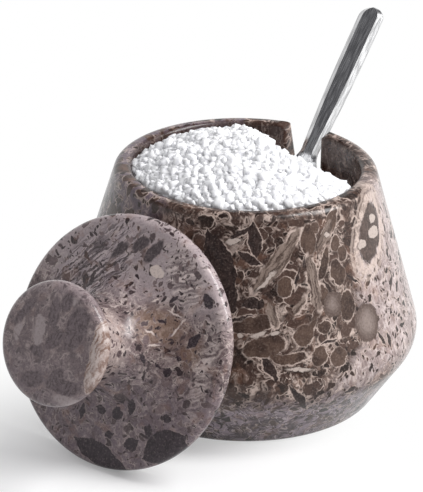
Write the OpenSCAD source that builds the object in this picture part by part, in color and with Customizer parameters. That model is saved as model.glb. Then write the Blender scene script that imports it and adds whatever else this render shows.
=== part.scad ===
// Turned stone salt cellar: a squat jar with a spoon notch in its rim, a heap of coarse salt,
// a small steel spoon and a knobbed lid that stands on its edge against the jar.
// The jar stands on z = 0 with its axis on the origin. The back is +Y and the right is +X.

/* [Jar] */
// Diameter where the straight taper would meet the floor
base_d = 84; // [78:0.5:90]
// Diameter where the two tapers of the wall would meet
belly_d = 112.2; // [104:0.2:120]
// Height of that meeting line
belly_h = 21; // [17:0.5:27]
// Radius that rounds the belly
belly_round = 12; // [8:0.5:14]
// Diameter at the top of the upper taper
rim_d = 80.4; // [78:0.1:84]
// Height of the rim
jar_h = 75; // [68:0.5:84]
// Rounding of the rim's outer shoulder
rim_round = 3; // [2:0.1:3.2]
// Rounding of the rim's inner edge
mouth_round = 1.5; // [0.8:0.1:1.6]
// Rounding of the bottom edge
base_round = 3.5; // [1:0.5:5]
// Bore of the jar
mouth_d = 70.7; // [66:0.1:71]
// Thickness of the jar's floor
floor_t = 9; // [6:0.5:14]
// Radius between the bore and the floor
bore_round = 16; // [8:0.5:22]

/* [Spoon notch] */
// Width of the notch
notch_w = 12.6; // [11:0.1:16]
// Depth of the notch below the rim
notch_deep = 21.5; // [18:0.5:26]
// Turn of the notch from the back towards the right, in degrees
notch_turn = 31; // [20:1:45]
// Rounding of the notch's lips
lip_round = 2.2; // [1:0.1:2.4]

/* [Salt] */
// Radius of the heap's crown
heap_round = 62.3; // [55:0.1:75]
// Height of the heap's crown above the rim
heap_rise = 7.8; // [5:0.1:11]
// Distance of the crown's top to the left of the jar's axis
heap_left = 0.5; // [0:0.1:6]
// Distance of the crown's top in front of the jar's axis
heap_front = 4; // [0:0.1:8]
// Radius of the hollow that the spoon has scooped in the heap's flank
scoop_round = 49.4; // [40:0.1:60]
// Height of the hollow's centre above the rim
scoop_rise = 27.4; // [22:0.1:32]
// Distance of the hollow's centre from the jar's axis
scoop_out = 50.4; // [46:0.1:56]
// Turn of the hollow from the back towards the right, in degrees
scoop_turn = 60; // [45:1:75]
// Length of the large crystals that stand out of the heap
crystal_l = 3.2; // [2:0.1:4]
// Distance from one such crystal to the next
crystal_pitch = 5.5; // [5:0.1:12]

/* [Spoon] */
// Length of the handle, from the neck to its end
handle_l = 54; // [45:0.5:70]
// Width of the handle near its end
handle_w = 8.6; // [7:0.1:10]
// Thickness of the handle
handle_t = 1.6; // [1.2:0.1:2]
// Height of the handle's straight side, under its sloping edge
side_t = 0.85; // [0.5:0.05:1]
// Width of the sloping edge along each side of the handle
slope_w = 1.65; // [1:0.05:2]
// Width of the neck
neck_w = 5.9; // [5:0.1:7]
// Length of the bowl
bowl_l = 27; // [20:0.5:30]
// Width of the bowl
bowl_w = 18.5; // [14:0.5:22]
// Depth of the bowl
bowl_deep = 4.6; // [3:0.1:6]
// Thickness of the bowl
bowl_t = 1; // [0.8:0.1:1.4]
// Slope of the handle above level, in degrees
spoon_slope = 42.2; // [38:0.1:50]
// Drop of the neck below the rim
neck_drop = 7.5; // [6:0.1:9]
// Distance of the neck to the right of the notch's centre line
neck_right = 1.7; // [0:0.1:2]
// Distance of the neck outside the bore
neck_out = 1.9; // [0:0.1:3]

/* [Lid] */
// Diameter of the lid
lid_d = 77; // [75:0.5:79]
// Thickness of the lid's rounded edge
lid_edge_t = 6; // [4:0.2:8]
// Slope of the lid's top, in degrees
lid_slope = 9; // [5:0.5:14]
// Diameter of the register that drops into the jar's mouth
register_d = 68.4; // [60:0.1:68.8]
// Height of the register
register_h = 2.2; // [1.5:0.1:4]
// Rounding of the register's edge
register_round = 0.8; // [0.3:0.1:1.2]
// Diameter of the narrowest part of the knob's neck
knob_neck_d = 21; // [16:0.5:26]
// Radius of the hollow curve under the knob
knob_hollow = 15; // [12:0.5:18]
// Diameter of the knob
knob_d = 37; // [34:0.5:42]
// Rounding of the knob's edge
knob_round = 3; // [2:0.1:4]
// Radius of the knob's domed end
knob_dome = 160; // [100:5:300]

/* [Lid's resting place] */
// Lean of the lid: slope of its axis above level, in degrees
lean = 20; // [18:0.5:28]
// Turn of the lid's axis from the front towards the left, in degrees
lean_turn = 35; // [25:0.5:45]
// Turn of the lid's centre from the front towards the left, in degrees
lean_at = 37; // [27:0.5:47]

/* [Hidden] */
$fn = 144;
// Every cut runs this far past the face that it opens
over = 1;
// Play between the salt and the jar, and between the salt and the spoon
salt_play = 0.25;
// Play between the lid and the jar that it leans on
lean_play = 0.3;
stone_col = [0.47, 0.41, 0.38];
lid_col = [0.52, 0.45, 0.42];
salt_col = [0.96, 0.96, 0.97];
steel_col = [0.75, 0.76, 0.78];

base_r = base_d / 2;
belly_r = belly_d / 2;
rim_r = rim_d / 2;
mouth_r = mouth_d / 2;
// Slope of the upper wall away from upright, in degrees
taper = atan((belly_r - rim_r) / (jar_h - belly_h));

notch_r = notch_w / 2;
notch_base = jar_h - notch_deep + notch_r;
// Height of the notch's straight sides
notch_side = jar_h - notch_base;
// The notch is cut square to the mean of the upright bore and the sloping outside
notch_tilt = taper / 2;
wall_mid_r = (mouth_r + wall_r(notch_base)) / 2;
// Distance from the jar's axis at which the notch's lips leave the wall: outside at the notch's
// sides, and inside halfway across the rounding
lip_out = sqrt(pow(wall_r(notch_base), 2) - notch_r * notch_r);
lip_in = sqrt(mouth_r * mouth_r - pow(notch_r + lip_round / 2, 2));

heap_at = [-heap_left, -heap_front, jar_h + heap_rise - heap_round];
scoop_at = [scoop_out * sin(scoop_turn), scoop_out * cos(scoop_turn), jar_h + scoop_rise];
// Sides of the heap's round faces
heap_sides = 60;
// Two crossed bricks whose common hull is one worn crystal, as shares of its length
crystal_shares = [[1, 0.7, 0.8], [0.75, 1, 0.65]];
// Half of a crystal's diagonal, as a share of its length
crystal_reach_share = 0.75;
// The crystals lie on a spiral, each turned on from the last
spiral_turn = 137.508;
tumble = [67, 41, 23];
crystal_room = mouth_r - salt_play - crystal_reach_share * crystal_l;
crystal_count = floor(PI * pow(crystal_room / crystal_pitch, 2));

// The handle widens from the neck by this power of its length
handle_power = 3;
// The bowl deepens from its ends by this power of a sine
bowl_power = 0.8;
// The bowl's rings crowd towards its tip by this share
crowd_share = 0.5;
// Share of the bowl's length, from the neck, at which it is widest
widest_share = 0.56;
// Share of the handle's half width that its rounded end takes
end_share = 0.9;
// Width left at the two ends of the spoon, as a share of its thickness
blunt_share = 0.5;
// Share of the bowl's length over which the handle's section turns into the bowl's
blend_share = 0.3;
// Places across one half of the sloping edge and the flat, as shares
slope_shares = [0, 0.5, 1];
flat_shares = [0.5, 0];
// Rings along the bowl, along the handle and round its end
bowl_rings = 20;
handle_rings = 10;
end_rings = 6;

// Outer radius of the jar's upper wall at a height
function wall_r(z) = rim_r + (jar_h - z) * tan(taper);

// Points at which a corner p1, between p0 and p2, meets a rounding of radius r, and its centre
function unit(v) = v / norm(v);
function bend(p0, p1, p2) = let(a = unit(p0 - p1), b = unit(p2 - p1)) acos(a * b) / 2;
function start_of(p0, p1, p2, r) = p1 + unit(p0 - p1) * r / tan(bend(p0, p1, p2));
function end_of(p0, p1, p2, r) = p1 + unit(p2 - p1) * r / tan(bend(p0, p1, p2));
function middle_of(p0, p1, p2, r) =
    p1 + unit(unit(p0 - p1) + unit(p2 - p1)) * r / sin(bend(p0, p1, p2));

// An outline whose corners are given as [x, y, rounding], each turned outwards
module rounded(corners) {
    n = len(corners);
    p = [for (c = corners) [c[0], c[1]]];
    polygon([for (i = [0 : n - 1]) let(a = p[(i + n - 1) % n], b = p[i], c = p[(i + 1) % n], r = corners[i][2])
        each r > 0 ? [start_of(a, b, c, r), end_of(a, b, c, r)] : [b]]);
    for (i = [0 : n - 1])
        if (corners[i][2] > 0)
            translate(middle_of(p[(i + n - 1) % n], p[i], p[(i + 1) % n], corners[i][2]))
                circle(corners[i][2]);
}

// What a rounding of radius r takes off a square corner: the corner is at the origin, the solid
// lies to the right of it and below, and the cut runs over on both open sides
module corner_off(r) {
    difference() {
        translate([-over, -r]) square([r + over, r + over]);
        translate([r, -r]) circle(r);
    }
}

// A notch outline, upright in the XY plane, with its round end down and its top corners rounded
module notch_outline() {
    circle(notch_r);
    translate([-notch_r, 0]) square([notch_w, notch_side + over]);
    for (side = [0, 1])
        mirror([side, 0])
            translate([notch_r, notch_side]) corner_off(rim_round);
}

// What rounds the lip where the notch leaves a wall: the notch is upright in the XZ plane, and
// the wall's surface faces +Y
module lip_off() {
    rotate([-90, 0, 0]) {
        rotate_extrude()
            translate([notch_r, 0]) corner_off(lip_round);
        for (side = [0, 1])
            mirror([side, 0, 0])
                rotate([90, 0, 0])
                    linear_extrude(notch_side + over)
                        translate([notch_r, 0]) corner_off(lip_round);
    }
}

// Moves what is drawn at the notch's round end to its place in the wall, at distance r out
module at_notch(r) {
    rotate([0, 0, -notch_turn])
        translate([0, r, notch_base])
            children();
}

module jar() {
    color(stone_col)
        difference() {
            rotate_extrude()
                rounded([[0, 0, 0], [base_r, 0, base_round], [belly_r, belly_h, belly_round],
                    [rim_r, jar_h, rim_round], [0, jar_h, 0]]);
            rotate_extrude()
                rounded([[0, floor_t, 0], [mouth_r, floor_t, bore_round], [mouth_r, jar_h + over, 0],
                    [0, jar_h + over, 0]]);
            rotate_extrude()
                translate([mouth_r, jar_h]) corner_off(mouth_round);
            at_notch(wall_mid_r)
                rotate([90 + notch_tilt, 0, 0])
                    linear_extrude(belly_r - mouth_r, center = true) notch_outline();
            at_notch(lip_out)
                rotate([taper, 0, 0]) lip_off();
            at_notch(lip_in)
                rotate([0, 0, 180]) lip_off();
        }
}

// Height of the heap at a place in plan: its crown, or the scooped hollow where that is lower
function crown_z(p) = heap_at[2] + sqrt(pow(heap_round, 2) - pow(norm(p - [heap_at[0], heap_at[1]]), 2));
function hollow_z(p) = let(left = pow(scoop_round, 2) - pow(norm(p - [scoop_at[0], scoop_at[1]]), 2))
    left > 0 ? scoop_at[2] - sqrt(left) : crown_z(p);
function heap_z(p) = min(crown_z(p), hollow_z(p));

// Where the spoon's neck is in plan, and the places in plan of the crystals that stay clear of it
neck_at = [neck_right * cos(notch_turn) + (mouth_r + neck_out) * sin(notch_turn),
    (mouth_r + neck_out) * cos(notch_turn) - neck_right * sin(notch_turn)];
crystal_places = [for (i = [0 : crystal_count - 1])
    let(r = crystal_room * sqrt((i + 0.5) / crystal_count), p = r * [cos(i * spiral_turn), sin(i * spiral_turn)])
    if (norm(p - neck_at) > bowl_w / 2 + crystal_l) p];

module crystal() {
    hull()
        for (shares = crystal_shares)
            cube(crystal_l * shares, center = true);
}

module heap() {
    intersection() {
        rotate_extrude()
            rounded([[0, floor_t + salt_play, 0],
                [mouth_r - salt_play, floor_t + salt_play, bore_round - salt_play],
                [mouth_r - salt_play, jar_h + heap_rise, 0], [0, jar_h + heap_rise, 0]]);
        translate(heap_at) sphere(heap_round);
    }
}

module salt() {
    color(salt_col)
        difference() {
            union() {
                difference() {
                    heap($fn = heap_sides);
                    translate(scoop_at) sphere(scoop_round, $fn = heap_sides);
                }
                for (i = [0 : len(crystal_places) - 1])
                    translate([crystal_places[i][0], crystal_places[i][1], heap_z(crystal_places[i])])
                        rotate(i * tumble) crystal();
            }
            spoon_place() spoon_pocket();
        }
}

// Moves a spoon, drawn level with its neck at the origin and its handle along +Y, to its place
module spoon_place() {
    rotate([0, 0, -notch_turn])
        translate([neck_right, mouth_r + neck_out, jar_h - neck_drop])
            rotate([spoon_slope, 0, 0])
                children();
}

// Half width of the spoon at y, which is 0 at the neck
function along_bowl(y) = -y / bowl_l;
function ease(t) = let(s = min(max(t, 0), 1)) s * s * (3 - 2 * s);
function bowl_half(t) = t < widest_share
    ? (neck_w + (bowl_w - neck_w) * ease(t / widest_share)) / 2
    : bowl_w / 2 * sqrt(max(1 - pow((t - widest_share) / (1 - widest_share), 2), 0));
end_l = end_share * handle_w / 2;
function end_round(y) = y < handle_l - end_l ? 1 : sqrt(max(1 - pow((y - handle_l + end_l) / end_l, 2), 0));
function handle_half(y) =
    (neck_w + (handle_w - neck_w) * (1 - pow(1 - y / handle_l, handle_power))) / 2 * end_round(y);
function half_w(y) = max(y < 0 ? bowl_half(along_bowl(y)) : handle_half(y), blunt_share * bowl_t);

// Height of the upper and the lower face at y, at a distance x from the centre line
function handle_top(x, w) = handle_t / 2 - (handle_t - side_t) * min(max((x - w + slope_w) / slope_w, 0), 1);
function bowl_sink(t) = bowl_deep * pow(sin(180 * min(max(t, 0), 1)), bowl_power);
function bowl_top(x, w, t) = bowl_t / 2 - bowl_sink(t) * (1 - pow(x / w, 2));
function upper(x, y) = let(w = half_w(y), t = along_bowl(y), k = ease(t / blend_share))
    handle_top(x, w) * (1 - k) + bowl_top(x, w, t) * k;
function lower(x, y) = let(w = half_w(y), t = along_bowl(y), k = ease(t / blend_share))
    -handle_t / 2 * (1 - k) + (bowl_top(x, w, t) - bowl_t) * k;

// One ring of points round the spoon at y: over the top from left to right, then back below
function half_places(y) = let(w = half_w(y), s = min(slope_w, w / 2))
    concat([for (k = slope_shares) w - s * k], [for (k = flat_shares) (w - s) * k]);
function places(y) = let(h = half_places(y), n = len(h))
    concat([for (x = h) -x], [for (i = [n - 2 : -1 : 0]) h[i]]);
function ring(y) = let(xs = places(y), n = len(xs))
    concat([for (x = xs) [x, y, upper(abs(x), y)]],
        [for (i = [n - 1 : -1 : 0]) [xs[i], y, lower(abs(xs[i]), y)]]);

stations = concat(
    [for (i = [0 : bowl_rings - 1]) let(s = i / bowl_rings)
        -bowl_l * (1 - crowd_share * s * s - (1 - crowd_share) * s)],
    [for (i = [0 : handle_rings - 1]) (handle_l - end_l) * i / handle_rings],
    [for (i = [0 : end_rings]) handle_l - end_l * (1 - sin(90 * i / end_rings))]);

module spoon_body() {
    rings = [for (y = stations) ring(y)];
    n = len(rings[0]);
    m = len(rings);
    half = n / 2;
    sides = [for (j = [0 : m - 2], i = [0 : n - 1])
        let(a = j * n + i, b = j * n + (i + 1) % n, c = a + n, d = b + n)
        each [[a, c, b], [b, c, d]]];
    // An end is a strip of quads between the upper and the lower points
    first = [for (i = [0 : half - 2]) let(a = i, b = i + 1, c = n - 1 - i, d = n - 2 - i)
        each [[a, b, c], [b, d, c]]];
    last = [for (i = [0 : half - 2])
        let(k = (m - 1) * n, a = k + i, b = k + i + 1, c = k + n - 1 - i, d = k + n - 2 - i)
        each [[a, c, b], [b, c, d]]];
    polyhedron([for (r = rings) each r], concat(sides, first, last));
}

// The room that the salt leaves for the buried bowl and neck: the spoon's outline, with play all
// round it, as deep as the bowl
module spoon_pocket() {
    low = bowl_deep + bowl_t / 2 + salt_play;
    high = handle_t / 2 + salt_play;
    stretch = (bowl_l + salt_play) / bowl_l;
    right = [for (y = stations) if (y <= neck_w) [half_w(y) + salt_play, y < 0 ? y * stretch : y]];
    left = [for (i = [len(right) - 1 : -1 : 0]) [-right[i][0], right[i][1]]];
    translate([0, 0, -low])
        linear_extrude(low + high) polygon(concat(right, left));
}

module spoon() {
    color(steel_col)
        spoon_place() spoon_body();
}

lid_r = lid_d / 2;
edge_r = lid_edge_t / 2;
register_r = register_d / 2;
register_face = edge_r + register_h;
// The lid's outline is made of three tangent arcs: its edge, the hollow and the knob's edge
edge_at = [lid_r - edge_r, 0];
hollow_x = knob_neck_d / 2 + knob_hollow;
hollow_at = [hollow_x, (edge_r + knob_hollow - (hollow_x - edge_at[0]) * sin(lid_slope)) / cos(lid_slope)];
knob_x = knob_d / 2 - knob_round;
knob_at = [knob_x, hollow_at[1] + sqrt(pow(knob_hollow + knob_round, 2) - pow(hollow_x - knob_x, 2))];
dome_at = [0, knob_at[1] - sqrt(pow(knob_dome - knob_round, 2) - knob_x * knob_x)];
slope_out = [sin(lid_slope), cos(lid_slope)];
dome_end = knob_at + unit(knob_at - dome_at) * knob_round;

module lid_outline() {
    difference() {
        polygon([[0, -edge_r], [edge_at[0], -edge_r], edge_at, edge_at + slope_out * edge_r,
            hollow_at - slope_out * knob_hollow, hollow_at + unit(knob_at - hollow_at) * knob_hollow,
            knob_at, dome_end, [0, dome_end[1]]]);
        translate(hollow_at) circle(knob_hollow);
    }
    translate(edge_at) circle(edge_r);
    translate(knob_at) circle(knob_round);
    intersection() {
        translate(dome_at) circle(knob_dome, $fn = 4 * $fn);
        translate([0, knob_at[1]]) square([dome_end[0], knob_dome]);
    }
    rounded([[0, -register_face, 0], [register_r, -register_face, register_round], [register_r, 0, 0],
        [0, 0, 0]]);
}

// The lid's register nearly touches the jar's wall at the top of its face
touch_z = (lid_r + register_r) * cos(lean) - register_face * sin(lean);
lean_r = wall_r(touch_z) + lean_play / cos(taper) + register_r * sin(lean) + register_face * cos(lean);

module lid() {
    color(lid_col)
        translate([-lean_r * sin(lean_at), -lean_r * cos(lean_at), lid_r * cos(lean)])
            rotate([0, 0, -lean_turn])
                rotate([90 - lean, 0, 0])
                    rotate_extrude() lid_outline();
}

jar();
salt();
spoon();
lid();
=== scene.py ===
"""Looks of a turned stone salt cellar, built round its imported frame: stone, salt, steel, floor and light."""
import math
import random

import bmesh
import bpy
from mathutils import Matrix, Vector, noise


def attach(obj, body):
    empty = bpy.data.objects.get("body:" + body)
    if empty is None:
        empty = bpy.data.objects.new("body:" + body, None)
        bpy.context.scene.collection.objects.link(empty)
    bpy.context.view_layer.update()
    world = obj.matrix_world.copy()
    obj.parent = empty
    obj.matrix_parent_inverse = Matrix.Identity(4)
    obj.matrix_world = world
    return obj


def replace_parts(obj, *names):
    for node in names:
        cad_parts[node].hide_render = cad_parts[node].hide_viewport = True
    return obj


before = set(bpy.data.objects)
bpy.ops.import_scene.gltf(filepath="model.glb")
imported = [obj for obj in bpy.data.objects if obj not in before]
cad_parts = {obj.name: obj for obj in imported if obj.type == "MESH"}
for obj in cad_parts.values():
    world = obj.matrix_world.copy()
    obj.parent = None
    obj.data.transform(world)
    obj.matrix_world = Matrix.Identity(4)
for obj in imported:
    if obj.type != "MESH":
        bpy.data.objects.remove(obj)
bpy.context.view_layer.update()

MM = 0.001
CHANCE = random.Random(7)


class Nodes:
    """A material's or world's nodes. Each call adds one and gives back an output socket."""

    def __init__(self, owner):
        owner.use_nodes = True
        self.tree = owner.node_tree
        self.tree.nodes.clear()

    def add(self, kind, inputs=None, out=0, **settings):
        made = self.tree.nodes.new(kind)
        for name, value in settings.items():
            setattr(made, name, value)
        for key, value in (inputs or {}).items():
            self.put(made.inputs[key], value)
        return made.outputs[out]

    def put(self, socket, value):
        if isinstance(value, bpy.types.NodeSocket):
            self.tree.links.new(value, socket)
        elif socket.type == "RGBA" and len(value) == 3:
            socket.default_value = (*value, 1)
        else:
            socket.default_value = value

    def math(self, operation, a, b=0.0, c=0.0):
        return self.add("ShaderNodeMath", {0: a, 1: b, 2: c}, operation=operation)

    def vector(self, operation, a, b=(0, 0, 0), out=0):
        return self.add("ShaderNodeVectorMath", {0: a, 1: b}, out=out, operation=operation)

    def dot(self, a, b):
        return self.vector("DOT_PRODUCT", a, b, out=1)

    def scaled(self, a, by):
        return self.add("ShaderNodeVectorMath", {0: a, "Scale": by}, operation="SCALE")

    def span(self, value, low, high, to_low=0.0, to_high=1.0, smooth=True):
        kind = "SMOOTHSTEP" if smooth else "LINEAR"
        return self.add("ShaderNodeMapRange", {0: value, 1: low, 2: high, 3: to_low, 4: to_high},
                        interpolation_type=kind, clamp=False)

    def mix(self, share, a, b):
        return self.add("ShaderNodeMix", {0: share, 6: a, 7: b}, out=2, data_type="RGBA")

    def noise(self, place, size, detail=2.0, roughness=0.5, out=0, **inputs):
        return self.add("ShaderNodeTexNoise", {"Vector": place, "Scale": 1 / size, "Detail": detail,
                                               "Roughness": roughness, **inputs}, out=out)

    def split(self, value):
        made = self.tree.nodes.new("ShaderNodeSeparateXYZ")
        self.put(made.inputs[0], value)
        return made.outputs[0], made.outputs[1], made.outputs[2]

    def parts(self, colour):
        """A colour's three values."""
        made = self.tree.nodes.new("ShaderNodeSeparateColor")
        self.put(made.inputs[0], colour)
        return made.outputs[0], made.outputs[1], made.outputs[2]

    def centred(self, colour):
        """A colour as a vector round zero."""
        red, green, blue = self.parts(colour)
        whole = self.add("ShaderNodeCombineXYZ", {0: red, 1: green, 2: blue})
        return self.vector("SUBTRACT", whole, (0.5, 0.5, 0.5))


def srgb(*values):
    """A colour given as it shows on a screen, 0 to 255, in the linear values that a shader takes."""
    shares = [v / 255 for v in values]
    return tuple(s / 12.92 if s < 0.04045 else ((s + 0.055) / 1.055) ** 2.4 for s in shares)


# A stone's shades, from its darkest fossils to the lines between them
JAR_SHADES = (srgb(36, 26, 23), srgb(55, 40, 35), srgb(78, 60, 53), srgb(112, 93, 84), srgb(190, 171, 161))
BLUSH = srgb(134, 98, 80)
LID_SHADES = (srgb(52, 41, 44), srgb(88, 72, 73), srgb(120, 103, 104), srgb(160, 143, 141), srgb(210, 194, 187))
STONE_GLOSS = 0.3


def warped(n, place, size, amount, seed):
    """Bends the pattern's space, so that no outline stays regular."""
    moved = n.vector("ADD", place, (seed, seed * 0.7, -seed))
    return n.vector("ADD", place, n.scaled(n.centred(n.noise(moved, size, out=1)), amount))


def cells_of(n, place, cell, seed):
    """Cells of space: the point from its own cell's middle, the middle, and a direction for each cell."""
    moved = n.vector("ADD", place, (seed * 13.0, seed * 7.0, seed * 5.0))
    cells = n.tree.nodes.new("ShaderNodeTexVoronoi")
    n.put(cells.inputs["Vector"], moved)
    n.put(cells.inputs["Scale"], 1 / cell)
    n.put(cells.inputs["Randomness"], 0.85)
    middle = cells.outputs["Position"]
    return moved, n.vector("SUBTRACT", moved, middle), middle, n.vector("NORMALIZE", n.centred(cells.outputs["Color"]))


def slabs(n, place, cell, seed):
    """Fossils that lie edge to edge. Gives how deep inside its own one a point is, in millimetres, a chance
    that is the same all over one, and fibres that run along each."""
    moved, away, middle, axis = cells_of(n, place, cell, seed)
    edges = n.add("ShaderNodeTexVoronoi", {"Vector": moved, "Scale": 1 / cell, "Randomness": 0.85},
                  feature="DISTANCE_TO_EDGE")
    tone = n.add("ShaderNodeTexWhiteNoise", {"Vector": middle}, out=0)
    along = n.scaled(axis, n.math("MULTIPLY", n.dot(away, axis), 0.85))
    fibre = n.noise(n.vector("SUBTRACT", away, along), 0.9, detail=3)
    return n.math("MULTIPLY", edges, cell), tone, fibre


def curls(n, place, size, seed, wide):
    """Thin lines that curl like the level lines of a map."""
    level = n.noise(n.vector("ADD", place, (seed, -seed, seed * 0.5)), size, detail=2)
    return n.span(n.math("ABSOLUTE", n.math("SUBTRACT", level, 0.5)), wide, wide * 0.3)


def clasts(n, place, cell, seed, keep, fill, aspect, ragged=0.3):
    """One size of fossil: a turned ellipsoid in each cell of space. Gives how far outside its outline a
    point is, a chance that is the same all over it, and how far along its length the point is."""
    moved, away, middle, axis = cells_of(n, place, cell, seed)
    size, tone, shape = n.parts(n.add("ShaderNodeTexWhiteNoise", {"Vector": middle}, out=1))
    along = n.dot(away, axis)
    along2 = n.math("MULTIPLY", along, along)
    across2 = n.math("SUBTRACT", n.dot(away, away), along2)
    longer = n.span(shape, 0, 1, 1 / aspect[0] ** 2, 1 / aspect[1] ** 2, smooth=False)
    reach = n.math("SQRT", n.math("ADD", across2, n.math("MULTIPLY", along2, longer)))
    half = n.span(size, 0, 1, 0.16 * cell * fill, 0.36 * cell * fill, smooth=False)
    rough = n.math("MULTIPLY", n.math("SUBTRACT", n.noise(moved, 0.12 * cell + 0.4, detail=3), 0.5), ragged)
    gap = n.math("ADD", n.math("SUBTRACT", reach, half), rough)
    gone = n.math("MULTIPLY", n.math("GREATER_THAN", tone, keep), 9.0)
    return n.math("ADD", gap, gone), n.math("DIVIDE", tone, keep), along


def laid(n, under, gap, colour, rim, rim_share=0.6, rim_wide=0.35, crisp=0.15):
    """Lays a fossil over what is there, its rim first. The gap is how far outside the fossil a point is."""
    ring = n.math("MULTIPLY", n.span(gap, rim_wide + crisp, rim_wide - crisp), rim_share)
    over = n.mix(ring, under, rim)
    return n.mix(n.span(gap, crisp, -crisp), over, colour)


def ovals(n, flat, rows, pointed=False):
    """How far outside the nearest of some ovals, or leaves with pointed ends, a point is, less than 0
    inside it. A row has an oval's place, its half length and half width and the lean of its length, in
    millimetres and degrees. The flat place has a 1 as its third value, so that one product turns it,
    moves it and scales it."""
    nearest = None
    for x, y, long, wide, lean in rows:
        cos, sin = math.cos(math.radians(lean)), math.sin(math.radians(lean))
        along = n.dot(flat, (cos / long, sin / long, -(x * cos + y * sin) / long))
        across = n.dot(flat, (-sin / wide, cos / wide, (x * sin - y * cos) / wide))
        if pointed:
            reach = n.math("MULTIPLY_ADD", along, along, n.math("ABSOLUTE", across))
        else:
            reach = n.vector("LENGTH", n.add("ShaderNodeCombineXYZ", {0: along, 1: across}), out=1)
        gap = n.math("MULTIPLY_ADD", reach, wide, -wide)
        nearest = gap if nearest is None else n.math("MINIMUM", nearest, gap)
    return nearest


def stone(name, seed, shades, zones_of, fossils_of, shrink=1.0, web=1.0):
    """Polished fossil stone: fossils that lie edge to edge, a web of curling lines, small and middling
    fossils over them where the ground isn't calm, and last the fossils that this piece is known by."""
    dark, brown, taupe, pale, cream = shades
    material = bpy.data.materials.new(name)
    n = Nodes(material)
    place = n.scaled(n.add("ShaderNodeTexCoord", out=3), 1 / MM)
    grain = n.scaled(place, 1 / shrink)
    bent = warped(n, grain, 9, 9, seed)
    fine = warped(n, bent, 2.2, 2.2, seed + 3)
    cloud = n.noise(bent, 5, detail=5, roughness=0.65)
    some = n.span(n.noise(grain, 4.0, detail=2), 0.42, 0.58)

    depth, tone, fibre = slabs(n, fine, 6.0, seed)
    shade = n.math("MULTIPLY_ADD", tone, 0.5, n.math("MULTIPLY_ADD", fibre, 1.1, n.math("MULTIPLY", cloud, 0.7)))
    ground = n.mix(n.span(shade, 0.7, 1.25), brown, taupe)
    ground = n.mix(n.span(shade, 1.2, 1.5), ground, pale)
    between = n.mix(n.span(cloud, 0.42, 0.58), pale, cream)
    ground = n.mix(n.math("MULTIPLY", n.span(depth, 0.9, 0.3, 0, web), some), ground, between)
    ground = n.mix(n.span(depth, 0.3, 0.1, 0, 0.5), ground, n.mix(some, dark, cream))
    line = n.math("MULTIPLY", curls(n, fine, 3.2, seed, 0.03), n.span(cloud, 0.45, 0.6, 0, web))
    ground = n.mix(line, ground, cream)
    ground = n.mix(n.math("MULTIPLY", curls(n, fine, 2.6, seed + 9, 0.035), 0.6), ground, dark)
    ground, calm = zones_of(n, ground, place, bent, fine, cloud)

    for k, (cell, keep, aspect) in enumerate(((1.6, 0.35, (2, 6)), (2.4, 0.4, (1.5, 6)), (3.6, 0.45, (1.2, 5)))):
        gap, tone, along = clasts(n, fine, cell, seed + 1 + k, keep, 1.0, aspect)
        shade = n.mix(n.math("MULTIPLY", tone, tone), dark, taupe)
        ground = laid(n, ground, gap, shade, cream, n.math("MULTIPLY", some, 0.5 * web), 0.3)
    sizes = ((5, 0.5, (1.3, 5.0), 0.9), (7, 0.5, (1.4, 5.0), 1.1), (10, 0.4, (1.3, 4.0), 1.2))
    for k, (cell, keep, aspect, ragged) in enumerate(sizes):
        gap, tone, along = clasts(n, bent, cell, seed + 4 + k, keep, 1.15, aspect, ragged)
        gap = n.math("ADD", gap, n.math("MULTIPLY", calm, 4))
        stripe = n.noise(n.add("ShaderNodeCombineXYZ", {0: n.math("MULTIPLY", along, 0.25),
                                                        1: n.math("MULTIPLY", gap, 1.6), 2: tone}), 1.0, detail=3)
        shade = n.math("ADD", n.math("MULTIPLY", tone, 0.7), n.math("MULTIPLY", stripe, 1.4))
        colour = n.mix(n.span(shade, 0.6, 1.45), dark, taupe)
        ground = laid(n, ground, gap, colour, cream, n.math("MULTIPLY", some, 0.8 * web), 0.3)

    rusty = n.noise(n.vector("ADD", bent, (seed, 0, 40)), 6, detail=2)
    ground = n.mix(n.span(rusty, 0.56, 0.68, 0, 0.25), ground, BLUSH)
    ground = fossils_of(n, ground, place, fine, some, shades)

    dust = n.noise(place, 0.6, detail=3)
    ground = n.mix(n.span(dust, 0.5, 0.75, 0, 0.12), ground, cream)
    ground = n.mix(n.span(dust, 0.5, 0.3, 0, 0.25), ground, dark)
    shader = n.tree.nodes.new("ShaderNodeBsdfPrincipled")
    n.put(shader.inputs["Base Color"], ground)
    n.put(shader.inputs["Roughness"], n.span(cloud, 0.3, 0.7, 0.16, 0.28))
    shader.inputs["Specular IOR Level"].default_value = STONE_GLOSS
    relief = n.math("ADD", n.noise(place, 1.5, detail=4), n.math("MULTIPLY", dust, 0.2))
    bump = n.add("ShaderNodeBump", {"Height": relief, "Strength": 0.12, "Distance": 0.0002})
    n.put(shader.inputs["Normal"], bump)
    end = n.tree.nodes.new("ShaderNodeOutputMaterial")
    n.put(end.inputs["Surface"], shader.outputs[0])
    return material


# Known fossils of the jar: turn from the front towards the right in degrees, height, half length, half
# width and lean
ARC = math.radians(1) * 48
JAR_DARK = ((-10, 61, 10.5, 4.4, -60), (3.5, 68, 5.6, 2.3, 98), (1.5, 62.5, 4.5, 1.1, -25),
            (-6, 52, 6, 2.6, -70), (2.5, 49.8, 2.8, 1.6, 10), (5.8, 49.4, 1.6, 1.3, 60), (8.5, 31, 4.6, 1.3, -62),
            (18.5, 20.5, 6, 1.2, -60), (37, 19.5, 2, 0.8, 10), (53, 31.5, 3, 0.6, -62), (57, 30, 2.6, 0.7, -80),
            (12, 54, 1, 1, 0), (30, 36, 3.5, 0.4, 10), (20, 56, 3.0, 0.5, 75), (12.5, 44.5, 3.0, 0.5, 40),
            (44, 52, 4.0, 0.4, -45), (-2, 70, 4, 0.9, 20), (-4, 44, 7, 1.0, 18), (24, 61, 2.6, 0.7, 60))
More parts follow.
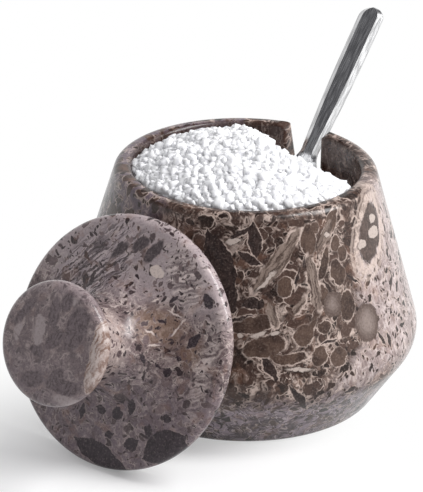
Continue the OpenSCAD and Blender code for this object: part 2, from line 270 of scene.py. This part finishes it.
JAR_BROWN = ((15, 54, 2.9, 2.3, 75), (21, 39.3, 3.2, 2.9, 80), (7, 37, 6.0, 3.0, 10), (32, 59, 4.8, 1.4, 62),
             (26, 66.5, 4.6, 2.7, 88), (37.5, 55.5, 3.8, 2.6, 105), (38.5, 64.0, 2.3, 1.9, 60),
             (30, 50, 3.4, 1.4, 98), (41, 60.5, 2.2, 1.8, 80), (37.5, 70, 5, 1.9, 48), (58, 71, 3, 2.4, 60),
             (39.5, 44.8, 4.4, 2.8, 80), (26, 32.5, 2.9, 2.3, 60), (33, 31, 2.8, 2.6, 80), (4, 43.5, 7.5, 2.2, 12),
             (17, 33, 4.0, 1.5, 5), (29.5, 70, 1.8, 1.5, 0), (25.5, 43.5, 4.0, 1.1, 60), (29, 40.5, 2.2, 1.8, 20),
             (12, 33, 3.0, 1.2, -30))
JAR_STRIPED = ((13, 61.5, 11.5, 2.4, 46), (34, 67, 5, 1.6, 48), (20, 48, 3, 1.2, 50))
JAR_COLUMN = ((26.5, 54, 8, 1.9, 96), (10, 46, 4, 1.3, 100))
JAR_GREY = ((47.5, 38.2, 5.6, 4.8, 95), (33.4, 46.8, 3.8, 3.3, 80))
JAR_EGG = ((60, 62.4, 8.8, 5.3, 46),)
JAR_DOTS = ((64.2, 65.8, 2.2, 1.2, 0), (62.2, 61.8, 3.4, 1.9, 0), (53, 60.6, 2.4, 1.4, 0),
            (-5, 67.5, 2.6, 0.8, 8), (5, 40.6, 2.6, 0.7, 15), (-1, 40, 1.0, 0.9, 0), (35, 67, 1.0, 0.8, 0),
            (11, 40.5, 1.5, 0.6, 0), (8, 56, 4, 0.6, 42), (18, 29.5, 3.5, 0.5, -10))


# How strongly the stone inside the bore is darkened to brown as painted shade, and the height where the painted
# highlight on the rim's top starts
BORE_PAINTED_SHADE = 0.75
RIM_HIGHLIGHT_Z = 77.0


def arcs(rows):
    return [(row[0] * ARC, *row[1:]) for row in rows]


def wobbly(n, flat, place):
    """Bends a flat pattern's outlines a little, so that they look grown and not drawn."""
    bend = n.centred(n.noise(place, 3.5, detail=4, roughness=0.65, out=1))
    return n.vector("ADD", flat, n.vector("MULTIPLY", bend, (3.0, 3.0, 0)))


def strokes(n, flat, lean, wide=0.7, slim=9):
    """A pattern, from 0 to 1, of short strokes that run at one lean."""
    own = n.add("ShaderNodeMapping", {"Vector": flat, "Rotation": (0, 0, math.radians(lean)),
                                      "Scale": (wide * slim, wide, 1)}, vector_type="TEXTURE")
    return n.span(n.noise(own, 1, detail=3), 0.36, 0.62)


def jar_flat(n, place):
    """The jar's side rolled out flat: along its turn and up."""
    x, y, z = n.split(place)
    turn = n.math("MULTIPLY", n.math("ARCTAN2", x, n.math("MULTIPLY", y, -1)), 48)
    return wobbly(n, n.add("ShaderNodeCombineXYZ", {0: turn, 1: z, 2: 1.0}), place)


def jar_zones(n, ground, place, bent, fine, cloud):
    """The jar's pale flank, dark shoulder and dusky foot, painted bluish sheen and shade on its left side, and a
    painted highlight along the top of its rim.
    """
    flat = jar_flat(n, place)
    turn, z, one = n.split(flat)
    pale = n.span(ovals(n, flat, arcs(((75, 44, 30, 25, 90), (50, 27, 16, 6, 18)))), 3, -3)
    light = n.mix(n.span(cloud, 0.42, 0.58), srgb(160, 144, 141), srgb(196, 181, 179))
    light = n.mix(n.math("MULTIPLY_ADD", strokes(n, flat, 100, 0.8, 4), -0.6, 0.6), light, srgb(114, 97, 94))
    light = n.mix(n.math("MULTIPLY", curls(n, fine, 4.5, 17, 0.03), 0.6), light, srgb(210, 195, 190))
    ground = n.mix(n.math("MULTIPLY", pale, 0.9), ground, light)
    shoulder = n.span(ovals(n, flat, arcs(((-2, 56, 26, 20, 90), (14, 36, 16, 8, 10)))), 4, -8)
    ground = n.mix(n.math("MULTIPLY", shoulder, 0.38), ground, srgb(48, 36, 34))
    # Painted sheen and shade: the left side, turned away from the lamp, is mixed towards bluish grey
    left = n.span(turn, -26, -40)
    ground = n.mix(n.math("MULTIPLY", left, 0.5), ground, srgb(118, 106, 120))
    wisps = n.noise(n.vector("MULTIPLY", bent, (0.4, 0.4, 0.8)), 2.2, detail=4, roughness=0.55)
    dusk = n.mix(n.span(wisps, 0.38, 0.6), srgb(72, 60, 66), srgb(150, 136, 146))
    dusk = n.mix(n.math("MULTIPLY", curls(n, bent, 4.6, 5, 0.025), 0.8), dusk, srgb(190, 176, 180))
    dusk = n.mix(n.math("MULTIPLY", curls(n, bent, 4.0, 23, 0.035), 0.9), dusk, srgb(52, 41, 46))
    edge = n.math("ADD", n.math("MULTIPLY", cloud, 12), n.span(turn, 28, 50, 0, 5))
    low = n.span(n.math("ADD", z, edge), 29, 20)
    ground = n.mix(n.math("MULTIPLY", low, n.span(turn, 28, 55, 0.85, 0.7)), ground, dusk)
    # Painted highlight: the top of the rim is paler, most towards the left
    rim = n.math("MULTIPLY", n.span(n.split(place)[2], RIM_HIGHLIGHT_Z - 0.8, RIM_HIGHLIGHT_Z), n.span(turn, -10, -60, 0.12, 0.5))
    ground = n.mix(rim, ground, srgb(186, 168, 160))
    return ground, n.math("MAXIMUM", pale, n.math("MULTIPLY", low, 0.6))


def jar_fossils(n, ground, place, fine, some, shades):
    dark, brown, taupe, pale, cream = shades
    flat = jar_flat(n, place)
    shade = n.span(n.noise(n.vector("MULTIPLY", fine, (1, 1, 0.4)), 0.9, detail=4), 0.36, 0.62)
    broad = n.span(n.noise(place, 6, detail=1), 0.38, 0.62)
    rim = n.math("MULTIPLY", some, 0.85)
    near = ovals(n, flat, arcs(JAR_DARK), pointed=True)
    ground = laid(n, ground, near, n.mix(shade, srgb(40, 31, 30), srgb(60, 48, 45)), cream, rim)
    near = ovals(n, flat, arcs(JAR_BROWN))
    tone = n.math("MULTIPLY_ADD", broad, 0.6, n.math("MULTIPLY", shade, 0.4))
    own = n.mix(tone, srgb(54, 40, 35), srgb(89, 71, 62))
    ground = laid(n, ground, near, own, cream, n.math("MULTIPLY_ADD", some, 0.6, 0.25), 0.3)
    banded = n.mix(strokes(n, flat, 46), srgb(74, 60, 54), srgb(132, 116, 107))
    ground = laid(n, ground, ovals(n, flat, arcs(JAR_STRIPED)), banded, cream, rim)
    banded = n.mix(strokes(n, flat, 96), srgb(70, 56, 51), srgb(134, 118, 109))
    ground = laid(n, ground, ovals(n, flat, arcs(JAR_COLUMN)), banded, cream, rim)
    near = ovals(n, flat, arcs(JAR_GREY))
    ripple = n.math("MULTIPLY", n.math("SINE", n.math("MULTIPLY", near, 7)), 0.05)
    grey = n.mix(n.math("ADD", n.span(near, -4.0, 0.0), ripple), srgb(132, 118, 112), srgb(86, 71, 65))
    ground = laid(n, ground, near, grey, dark, 0.5, 0.2)
    near = ovals(n, flat, arcs(JAR_EGG))
    ring = n.span(n.math("ABSOLUTE", n.math("SUBTRACT", near, 1.7)), 1.5, 0.6, 0, 0.9)
    ground = n.mix(n.math("MULTIPLY", ring, n.span(shade, 0, 1, 1, 0.45)), ground, srgb(196, 178, 168))
    outer = n.span(n.math("ABSOLUTE", n.math("SUBTRACT", near, 3.7)), 0.7, 0.3, 0, 0.5)
    ground = n.mix(outer, ground, srgb(190, 172, 162))
    ground = laid(n, ground, near, n.mix(shade, srgb(66, 54, 49), srgb(86, 71, 65)), dark, 0.7, 0.4)
    ground = laid(n, ground, ovals(n, flat, arcs(JAR_DOTS)), srgb(180, 166, 158), dark, 0.5, 0.25)
    # Painted shade: inside the bore the stone is darkened to a deep brown
    x, y, z = n.split(place)
    reach = n.math("SQRT", n.math("ADD", n.math("MULTIPLY", x, x), n.math("MULTIPLY", y, y)))
    return n.mix(n.span(reach, 37, 35.6, 0, BORE_PAINTED_SHADE), ground, srgb(40, 20, 12))


# Known fossils of the lid, seen square to its face: across to the right and up from its middle, then as
# for the jar. The ones on the knob's end are apart
LID_GREY = ((6.2, 29.4, 4.2, 1.8, 62), (1.0, 30.4, 3.4, 1.9, 42), (-5.5, 27, 3.6, 1.4, 50))
LID_DARK = ((26.7, 7.6, 3.2, 1.4, 60), (23.2, 1.2, 1.0, 0.8, 0), (21, -3.7, 1.5, 1.2, 60), (18, -2.4, 1.3, 0.5, -45), (14.3, -1.3, 1.5, 0.6, -70),
            (11.3, -17, 2.8, 1.1, 85), (6.8, -20, 2.3, 1.8, 60), (23.3, -17.1, 1.7, 1.2, -10),
            (24, -26, 8.5, 5.0, 38), (2.5, -34.5, 11, 3.6, -14), (18, -22.8, 2.6, 1.2, 100),
            (5, -27.3, 1.8, 1.2, 30), (13, -28, 2.8, 2.2, 40), (17, 17.5, 1.9, 0.8, 50), (28, 20, 2.4, 1.6, -40),
            (-6, -23, 2.6, 0.9, 75), (15.5, 10.5, 1.2, 0.5, -20), (1, -20.5, 1.8, 1.6, 0))
LID_LONG = ((-13, 20, 19, 9, 50),)
LID_SHORT = ((19, 24, 9, 5, -50), (32, 2, 12, 2, 85))
LID_PALE = ((9.2, 24.2, 2.9, 1.7, -10), (14, 7, 1.6, 0.3, -20), (12, 16, 1.5, 0.3, 35), (22, 12, 1.2, 0.3, 60),
            (19, 13.5, 2.4, 0.3, -10), (16, 3.5, 1.4, 0.3, 20), (20.5, 9, 1.8, 0.3, 70), (18, 14.6, 1.4, 0.3, 80))
LID_WARM = ((16, 9, 9, 6.5, 0), (27, 4, 6, 4, 80))
# Painted shade: the middle of the lid's face is darkened
LID_PAINTED_SHADE = ((14, 4, 10, 11, 0),)
KNOB_DARK = ((8.1, 6.5, 7, 3.6, 80), (2.9, 13, 3.5, 2, 80), (-0.4, 9.1, 4.5, 2, 95), (1.6, 1.4, 4, 2, 55),
             (-10.9, 7, 6, 1.5, 56), (-6.5, 6.3, 3.2, 0.25, 95), (-3.6, -3, 3, 1.8, 0), (7.7, -10.8, 6.5, 2.2, 5),
             (-9.2, -2.7, 3.2, 0.35, -40), (5, -7.8, 2.8, 1.4, 40), (-3.5, -11.5, 4.0, 2.6, 20))
KNOB_PALE = ((8.6, -14.3, 4, 1.7, 5), (-4.5, 3, 2.2, 4.5, 10), (4.5, 14, 1.6, 1.4, 0), (-12, 1, 1.4, 3.5, 0))
# Painted light: a pale band down the right side of the knob, where the lamp falls; the streaks in it are stone pattern
KNOB_PAINTED_LIGHT = ((22.4, 1, 8, 36, 0),)

LID_MIDDLE = Vector((-35.861, -47.589, 36.178))
LID_AXIS = Vector((-0.538986, -0.769751, 0.342020))


def lid_flat(n, place):
    """The lid seen square to its face, and how far out along its axis a point is."""
    across = Vector((0, 0, 1)).cross(LID_AXIS).normalized()
    upward = LID_AXIS.cross(across)
    away = n.vector("SUBTRACT", place, LID_MIDDLE)
    flat = n.add("ShaderNodeCombineXYZ", {0: n.dot(away, across), 1: n.dot(away, upward), 2: 1.0})
    return wobbly(n, flat, place), n.dot(away, LID_AXIS)


def lid_zones(n, ground, place, bent, fine, cloud):
    """The lid's calm dusky lower half, its streaks above, the warm patch beside its middle, painted shade over its
    middle and painted light on its neck.
    """
    flat, out = lid_flat(n, place)
    disc = n.span(out, 14, 10)
    ground = n.mix(n.span(n.split(flat)[1], 10, 22, 0, 0.75), ground, srgb(180, 166, 168))
    # Painted shade: the middle of the lid's face is mixed towards a darker brown
    middle = n.math("MULTIPLY", n.span(ovals(n, flat, LID_PAINTED_SHADE), 2, -4), disc)
    ground = n.mix(n.math("MULTIPLY", middle, 0.3), ground, srgb(98, 84, 82))
    low = n.math("MULTIPLY", n.span(n.split(flat)[1], 0, -14), n.span(cloud, 0.4, 0.6, 0.35, 0.75))
    ground = n.mix(low, ground, srgb(112, 99, 107))
    warm = n.math("MULTIPLY", n.span(ovals(n, flat, LID_WARM), 2, -4), disc)
    ground = n.mix(n.math("MULTIPLY", warm, 0.6), ground, srgb(134, 106, 87))
    streaks = n.mix(strokes(n, flat, 50, 2.6, 6), srgb(94, 82, 86), srgb(176, 162, 166))
    streaks = n.mix(n.span(strokes(n, flat, 52, 0.7, 12), 0.6, 0.9), streaks, srgb(192, 177, 178))
    streaks = n.mix(n.span(strokes(n, flat, 47, 0.8, 9), 0.7, 0.95), streaks, srgb(50, 40, 43))
    share = n.math("MULTIPLY", n.span(ovals(n, flat, LID_LONG), 2.5, -2.5, 0, 0.9), disc)
    ground = n.mix(share, ground, streaks)
    streaks = n.mix(strokes(n, flat, 28, 1.0, 8), srgb(88, 73, 74), srgb(218, 202, 197))
    share = n.math("MULTIPLY", n.span(ovals(n, flat, LID_SHORT), 2.0, -2.0, 0, 0.75), disc)
    ground = n.mix(share, ground, streaks)
    # Painted light: the neck round the knob is lightened
    painted_neck_light = n.math("MULTIPLY", n.span(out, 12, 18), n.span(out, 29, 25))
    ground = n.mix(n.math("MULTIPLY", painted_neck_light, 0.6), ground, srgb(182, 166, 160))
    return ground, n.span(cloud, 0.3, 0.5, 0.15, 0.5)


def lid_fossils(n, ground, place, fine, some, shades):
    dark, brown, taupe, pale, cream = shades
    flat, out = lid_flat(n, place)
    shade = n.span(n.noise(n.vector("MULTIPLY", fine, (1, 1, 0.4)), 0.9, detail=4), 0.36, 0.62)
    rim = n.math("MULTIPLY", some, 0.5)
    deep = n.mix(shade, srgb(44, 35, 40), srgb(62, 51, 57))
    plain = laid(n, ground, ovals(n, flat, LID_DARK, pointed=True), deep, pale, rim)
    soft = n.mix(shade, srgb(64, 54, 57), srgb(88, 77, 80))
    plain = laid(n, plain, ovals(n, flat, LID_GREY), soft, pale, rim, crisp=0.3)
    plain = laid(n, plain, ovals(n, flat, LID_PALE), cream, taupe, rim)
    ground = n.mix(n.span(out, 14, 10), ground, plain)
    face = n.mix(0.45, ground, srgb(132, 119, 121))
    face = laid(n, face, ovals(n, flat, KNOB_PALE), srgb(160, 147, 147), taupe, rim, crisp=0.5)
    slab = n.mix(shade, srgb(86, 74, 77), srgb(114, 101, 104))
    face = laid(n, face, ovals(n, flat, KNOB_DARK), slab, pale, rim, crisp=0.4)
    # Painted light: a pale streaked band down the knob's right side
    side = n.mix(strokes(n, flat, 80, 0.8, 6), srgb(128, 100, 86), srgb(204, 189, 183))
    face = n.mix(n.span(ovals(n, flat, KNOB_PAINTED_LIGHT), 1.5, -0.5, 0, 0.8), face, side)
    return n.mix(n.span(out, 25, 28), ground, face)


def show(node, material):
    """Gives a CAD node its material."""
    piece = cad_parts[node]
    piece.data.materials.clear()
    piece.data.materials.append(material)


def piece_of(name, verts, faces, material, body, smooth=True):
    """A mesh piece of the object, in millimetres, riding on a CAD body."""
    mesh = bpy.data.meshes.new(name)
    mesh.from_pydata([[c * MM for c in v] for v in verts], [], faces)
    mesh.update()
    for face in mesh.polygons:
        face.use_smooth = smooth
    piece = bpy.data.objects.new(name, mesh)
    bpy.context.scene.collection.objects.link(piece)
    mesh.materials.append(material)
    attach(piece, body)
    return piece


# Salt: a heap whose crown is a ball, with a hollow scooped in its flank, covered with loose crystals
HEAP_R = 62.3
HEAP_AT = (-0.5, -4.0, 20.5)
SCOOP_R = 49.4
SCOOP_AT = (43.6, 25.2, 102.4)
BORE_R = 35.0
BED_DROP = 0.1


def heap(x, y):
    """Height of the heap, in millimetres."""
    crown = HEAP_AT[2] + math.sqrt(HEAP_R ** 2 - (x - HEAP_AT[0]) ** 2 - (y - HEAP_AT[1]) ** 2)
    inside = SCOOP_R ** 2 - (x - SCOOP_AT[0]) ** 2 - (y - SCOOP_AT[1]) ** 2
    bumps = noise.noise((x * 0.16, y * 0.16, 3.0)) * 0.5
    if inside <= 0:
        return crown + bumps
    hollow = SCOOP_AT[2] - math.sqrt(inside)
    soft = max(1 - abs(crown - hollow) / 3.0, 0)
    return min(crown, hollow) - soft * soft * 0.75 + bumps


def salt_bed(material):
    """The heap's packed inside: its top, its wall along the bore and its floor."""
    rings, turns = 26, 96
    verts = [(0, 0, heap(0, 0) - BED_DROP)]
    for j in range(1, rings + 1):
        for i in range(turns):
            a = math.tau * i / turns
            x, y = BORE_R * j / rings * math.cos(a), BORE_R * j / rings * math.sin(a)
            verts.append((x, y, heap(x, y) - BED_DROP))
    faces = [(0, 1 + i, 1 + (i + 1) % turns) for i in range(turns)]
    for j in range(rings - 1):
        a, b = 1 + j * turns, 1 + (j + 1) * turns
        faces += [(a + i, b + i, b + (i + 1) % turns, a + (i + 1) % turns) for i in range(turns)]
    low = len(verts)
    top = 1 + (rings - 1) * turns
    verts += [(verts[top + i][0], verts[top + i][1], 30) for i in range(turns)]
    faces += [(top + i, low + i, low + (i + 1) % turns, top + (i + 1) % turns) for i in range(turns)]
    faces.append(tuple(low + i for i in reversed(range(turns))))
    return piece_of("salt_bed", verts, faces, material, "jar")


def crystal(chance, cuts=3):
    """A worn cube with uneven sides: points and faces round the origin, about one unit across."""
    shell = bmesh.new()
    bmesh.ops.create_cube(shell, size=1)
    bmesh.ops.subdivide_edges(shell, edges=shell.edges[:], cuts=cuts - 1, use_grid_fill=True)
    stretch = Vector([chance.uniform(0.75, 1.3) for _ in range(3)])
    worn = chance.uniform(0.2, 0.55)
    shift = Vector([chance.uniform(-50, 50) for _ in range(3)])
    for v in shell.verts:
        round_off = v.co.normalized() * 0.58
        v.co = v.co.lerp(round_off, worn)
        v.co += noise.noise_vector(v.co * 1.7 + shift) * 0.16
        v.co = Vector(v.co[i] * stretch[i] for i in range(3))
    verts = [v.co.copy() for v in shell.verts]
    faces = [[v.index for v in f.verts] for f in shell.faces]
    shell.free()
    return verts, faces


def salt_grains(material):
    kinds = [crystal(CHANCE) for _ in range(14)]
    verts, faces = [], []
    for layer, (count, low, high) in enumerate(((1250, -0.8, -0.4), (600, -0.3, 0.5))):
        for i in range(count):
            r = BORE_R * 0.985 * math.sqrt((i + 0.5) / count)
            a = i * 2.399963 + layer
            x = r * math.cos(a) + CHANCE.uniform(-0.5, 0.5)
            y = r * math.sin(a) + CHANCE.uniform(-0.5, 0.5)
            size = min(max(CHANCE.lognormvariate(0.78, 0.22), 1.4), 3.4)
            room = BORE_R - size * 0.5
            out = math.hypot(x, y)
            if out > room:
                x, y = x * room / out, y * room / out
            turn = Matrix.Rotation(CHANCE.uniform(0, math.tau), 3, Vector(
                [CHANCE.uniform(-1, 1) for _ in range(3)]).normalized())
            at = Vector((x, y, heap(x, y) + CHANCE.uniform(low, high)))
            shape, sides = CHANCE.choice(kinds)
            start = len(verts)
            verts += [tuple(at + turn @ (v * size)) for v in shape]
            faces += [tuple(start + k for k in side) for side in sides]
    return piece_of("salt_grains", verts, faces, material, "jar")


def salt_material():
    material = bpy.data.materials.new("salt_crystals")
    n = Nodes(material)
    place = n.scaled(n.add("ShaderNodeTexCoord", out=3), 1 / MM)
    veil = n.noise(place, 1.2, detail=3)
    colour = n.mix(n.span(veil, 0.3, 0.7), srgb(240, 240, 244), srgb(252, 252, 253))
    shader = n.tree.nodes.new("ShaderNodeBsdfPrincipled")
    n.put(shader.inputs["Base Color"], colour)
    n.put(shader.inputs["Roughness"], n.span(veil, 0.3, 0.7, 0.25, 0.5))
    shader.inputs["Subsurface Weight"].default_value = 0.5
    shader.inputs["Subsurface Radius"].default_value = (1.0, 1.0, 1.0)
    shader.inputs["Subsurface Scale"].default_value = 0.001
    bump = n.add("ShaderNodeBump", {"Height": n.noise(place, 0.4, detail=3), "Strength": 0.2, "Distance": 0.0001})
    n.put(shader.inputs["Normal"], bump)
    end = n.tree.nodes.new("ShaderNodeOutputMaterial")
    n.put(end.inputs["Surface"], shader.outputs[0])
    return material


# Spoon: the same sizes as the solid, in millimetres from its neck, with its handle along +Y
HANDLE_L, HANDLE_W, HANDLE_T, SIDE_T, SLOPE_W = 53.9, 8.6, 1.6, 0.85, 1.65
BOWL_L, BOWL_W, BOWL_DEEP, BOWL_T, NECK_W = 27.0, 18.5, 4.6, 1.0, 5.9
WIDEST = 0.56
END_L = 0.45 * HANDLE_W
SPOON_PLACE = (Matrix.Rotation(math.radians(-31), 4, "Z") @ Matrix.Translation((1.7, 37.25, 67.5))
               @ Matrix.Rotation(math.radians(42.2), 4, "X"))


def ease(t):
    s = min(max(t, 0), 1)
    return s * s * (3 - 2 * s)


def spoon_half(y):
    """Half width of the spoon at a place along it."""
    if y < 0:
        t = -y / BOWL_L
        if t < WIDEST:
            half = (NECK_W + (BOWL_W - NECK_W) * ease(t / WIDEST)) / 2
        else:
            half = BOWL_W / 2 * math.sqrt(max(1 - ((t - WIDEST) / (1 - WIDEST)) ** 2, 0))
    else:
        tip = math.sqrt(max(1 - (max(y - HANDLE_L + END_L, 0) / END_L) ** 2, 0))
        half = (NECK_W + (HANDLE_W - NECK_W) * (1 - (1 - y / HANDLE_L) ** 3)) / 2 * tip
    return max(half, 0.5)


def spoon_heights(x, y):
    """Height of the upper and the lower face."""
    half = spoon_half(y)
    t = min(max(-y / BOWL_L, 0), 1)
    share = ease(t / 0.3)
    handle = HANDLE_T / 2 - (HANDLE_T - SIDE_T) * min(max((x - half + SLOPE_W) / SLOPE_W, 0), 1)
    bowl = BOWL_T / 2 - BOWL_DEEP * math.sin(math.pi * t) ** 0.8 * (1 - (x / half) ** 2)
    return handle + (bowl - handle) * share, -HANDLE_T / 2 + (bowl - BOWL_T + HANDLE_T / 2) * share


def spoon_ring(y):
    """Points round the spoon: over the top from left to right, then back below."""
    half = spoon_half(y)
    slope = min(SLOPE_W, half / 2)
    side = [half - slope * k / 3 for k in range(4)] + [(half - slope) * k / 4 for k in (3, 2, 1)]
    across = [-x for x in side] + [0] + side[::-1]
    upper = [(x, y, spoon_heights(abs(x), y)[0]) for x in across]
    lower = [(x, y, spoon_heights(abs(x), y)[1]) for x in across[::-1]]
    return [tuple(SPOON_PLACE @ Vector(p)) for p in upper + lower]


def build_spoon(material):
    bowl = [-BOWL_L * (1 - 0.5 * (k / 40) ** 2 - 0.5 * k / 40) for k in range(40)]
    handle = [(HANDLE_L - END_L) * k / 40 for k in range(40)]
    end = [HANDLE_L - END_L * (1 - math.sin(math.pi / 2 * k / 14)) for k in range(15)]
    rings = [spoon_ring(y) for y in bowl + handle + end]
    count = len(rings[0])
    faces = []
    for j in range(len(rings) - 1):
        a, b = j * count, (j + 1) * count
        faces += [(a + i, b + i, b + (i + 1) % count, a + (i + 1) % count) for i in range(count)]
    faces.append(tuple(range(count)))
    faces.append(tuple(len(rings) * count - 1 - i for i in range(count)))
    piece = piece_of("spoon_steel", [p for ring in rings for p in ring], faces, material, "spoon")
    shell = bmesh.new()
    shell.from_mesh(piece.data)
    bmesh.ops.recalc_face_normals(shell, faces=shell.faces[:])
    shell.to_mesh(piece.data)
    shell.free()
    piece.data.set_sharp_from_angle(angle=math.radians(12))
    return piece


def steel_material():
    """Steel, brushed along the handle."""
    material = bpy.data.materials.new("brushed_steel")
    n = Nodes(material)
    place = n.scaled(n.add("ShaderNodeTexCoord", out=3), 1 / MM)
    axis = (SPOON_PLACE.to_3x3() @ Vector((0, 1, 0))).normalized()
    along = n.scaled(n.vector("MULTIPLY", axis, (0.92, 0.92, 0.92)), n.dot(place, axis))
    brushed = n.noise(n.vector("SUBTRACT", place, along), 0.45, detail=3)
    cloudy = n.noise(place, 5, detail=2)
    shader = n.tree.nodes.new("ShaderNodeBsdfPrincipled")
    n.put(shader.inputs["Base Color"], n.mix(n.span(brushed, 0.35, 0.65), srgb(184, 184, 185), srgb(232, 232, 233)))
    rough = n.math("ADD", n.span(brushed, 0.3, 0.7, 0.18, 0.28), n.math("MULTIPLY", cloudy, 0.08))
    n.put(shader.inputs["Roughness"], rough)
    bump = n.add("ShaderNodeBump", {"Height": brushed, "Strength": 0.05, "Distance": 0.00005})
    n.put(shader.inputs["Normal"], bump)
    shader.inputs["Metallic"].default_value = 1
    end = n.tree.nodes.new("ShaderNodeOutputMaterial")
    n.put(end.inputs["Surface"], shader.outputs[0])
    return material


jar_stone = stone("fossil_stone", 2.0, JAR_SHADES, jar_zones, jar_fossils)
lid_stone = stone("fossil_stone_lid", 31.0, LID_SHADES, lid_zones, lid_fossils, 0.8, 0.45)
salt = salt_material()
show("jar", jar_stone)
show("lid", lid_stone)
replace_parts(build_spoon(steel_material()), "spoon")
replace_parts(salt_bed(salt), "salt")
salt_grains(salt)


def seen_ray(n):
    """1 for the rays that show the surroundings: to the camera, off gloss and through glass."""
    rays = n.tree.nodes.new("ShaderNodeLightPath").outputs
    mirrored = n.math("MAXIMUM", rays["Is Glossy Ray"], rays["Is Transmission Ray"])
    return n.math("MAXIMUM", rays["Is Camera Ray"], mirrored)


def floor_material():
    """White paint. Far from the object it is as bright as the backdrop, and near it shows the shadow."""
    material = bpy.data.materials.new("floor_paint")
    n = Nodes(material)
    seen = seen_ray(n)
    place = n.add("ShaderNodeTexCoord", out=3)
    far = n.span(n.vector("DISTANCE", place, SHADE_AT, out=1), 0.015, 0.1, FLOOR_GLOW, 1.0)
    diffuse = n.add("ShaderNodeBsdfDiffuse", {"Color": n.mix(seen, FLOOR_BOUNCE, (0.92, 0.92, 0.92))})
    glow = n.add("ShaderNodeEmission", {"Color": (1.0, 1.0, 1.0), "Strength": 1.0})
    both = n.add("ShaderNodeMixShader", {0: n.math("MULTIPLY", seen, far), 1: diffuse, 2: glow})
    end = n.tree.nodes.new("ShaderNodeOutputMaterial")
    n.put(end.inputs["Surface"], both)
    return material


def build_floor():
    mesh = bpy.data.meshes.new("floor")
    mesh.from_pydata([(x * FLOOR_REACH, y * FLOOR_REACH, 0) for x, y in ((-1, -1), (1, -1), (1, 1), (-1, 1))],
                     [], [(0, 1, 2, 3)])
    mesh.materials.append(floor_material())
    made = bpy.data.objects.new("floor", mesh)
    bpy.context.scene.collection.objects.link(made)


def build_world():
    """A pale room: its far walls are white, its ceiling and the camera's side are dim, and gloss shows a
    broad soft window high on the right."""
    world = bpy.data.worlds.new("studio")
    bpy.context.scene.world = world
    n = Nodes(world)
    way = n.add("ShaderNodeTexCoord", out=0)
    x, y, z = n.split(way)
    dim = n.math("MAXIMUM", n.span(z, 0.3, 0.7), n.span(y, -0.4, -0.9))
    room = n.mix(dim, (1.0, 1.0, 1.0), ROOM_DIM)
    window = n.span(n.dot(way, WINDOW_AT), 0.8, 0.9)
    room = n.mix(window, room, (1.0, 1.0, 1.0))
    colour = n.mix(seen_ray(n), AMBIENT, room)
    back = n.add("ShaderNodeBackground", {"Color": colour, "Strength": 1.0})
    end = n.tree.nodes.new("ShaderNodeOutputWorld")
    n.put(end.inputs["Surface"], back)


def lamp(name, at, towards, wide, tall, energy):
    light = bpy.data.lights.new(name, "AREA")
    light.shape = "RECTANGLE"
    light.size = wide
    light.size_y = tall
    light.energy = energy
    made = bpy.data.objects.new(name, light)
    made.location = at
    made.rotation_euler = (Vector(at) - Vector(towards)).to_track_quat("Z", "Y").to_euler()
    bpy.context.scene.collection.objects.link(made)


def build_camera():
    forward = Vector((0, math.cos(TILT), -math.sin(TILT)))
    up = Vector((0, math.sin(TILT), math.cos(TILT)))
    right = Vector((1, 0, 0))
    eye_right = math.cos(ROLL) * right + math.sin(ROLL) * up
    eye_up = -math.sin(ROLL) * right + math.cos(ROLL) * up
    view = bpy.data.cameras.new("camera")
    view.sensor_width = 36
    view.lens = LENS
    view.clip_start = 0.05
    view.clip_end = 20
    camera = bpy.data.objects.new("camera", view)
    turn = Matrix((eye_right, eye_up, -forward)).transposed().to_4x4()
    camera.matrix_world = Matrix.Translation(AIM - AWAY * forward) @ turn
    bpy.context.scene.collection.objects.link(camera)
    bpy.context.scene.camera = camera


FLOOR_REACH = 3.0
FLOOR_GLOW = 0.2
SHADE_AT = (-0.04, -0.075, 0)
FLOOR_BOUNCE = (0.6, 0.6, 0.6)
AMBIENT = (0.47, 0.47, 0.485)
ROOM_DIM = (0.13, 0.13, 0.138)
WINDOW_AT = Vector((0.40, -0.45, 0.80))
build_floor()
build_world()
lamp("key", (0.66, -0.16, 0.7), (0, 0, 0.04), 0.35, 0.8, 11.5)

# The camera looks down by TILT from AWAY, at AIM, with a lens as long as the photograph's
TILT = 0.417793177
AWAY = 0.9565
ROLL = 0.0206041
AIM = Vector((-0.0100970, 0, 0.0470247))
LENS = 3062.59 * 36 / 492
build_camera()
bpy.context.scene.view_settings.view_transform = "Standard"
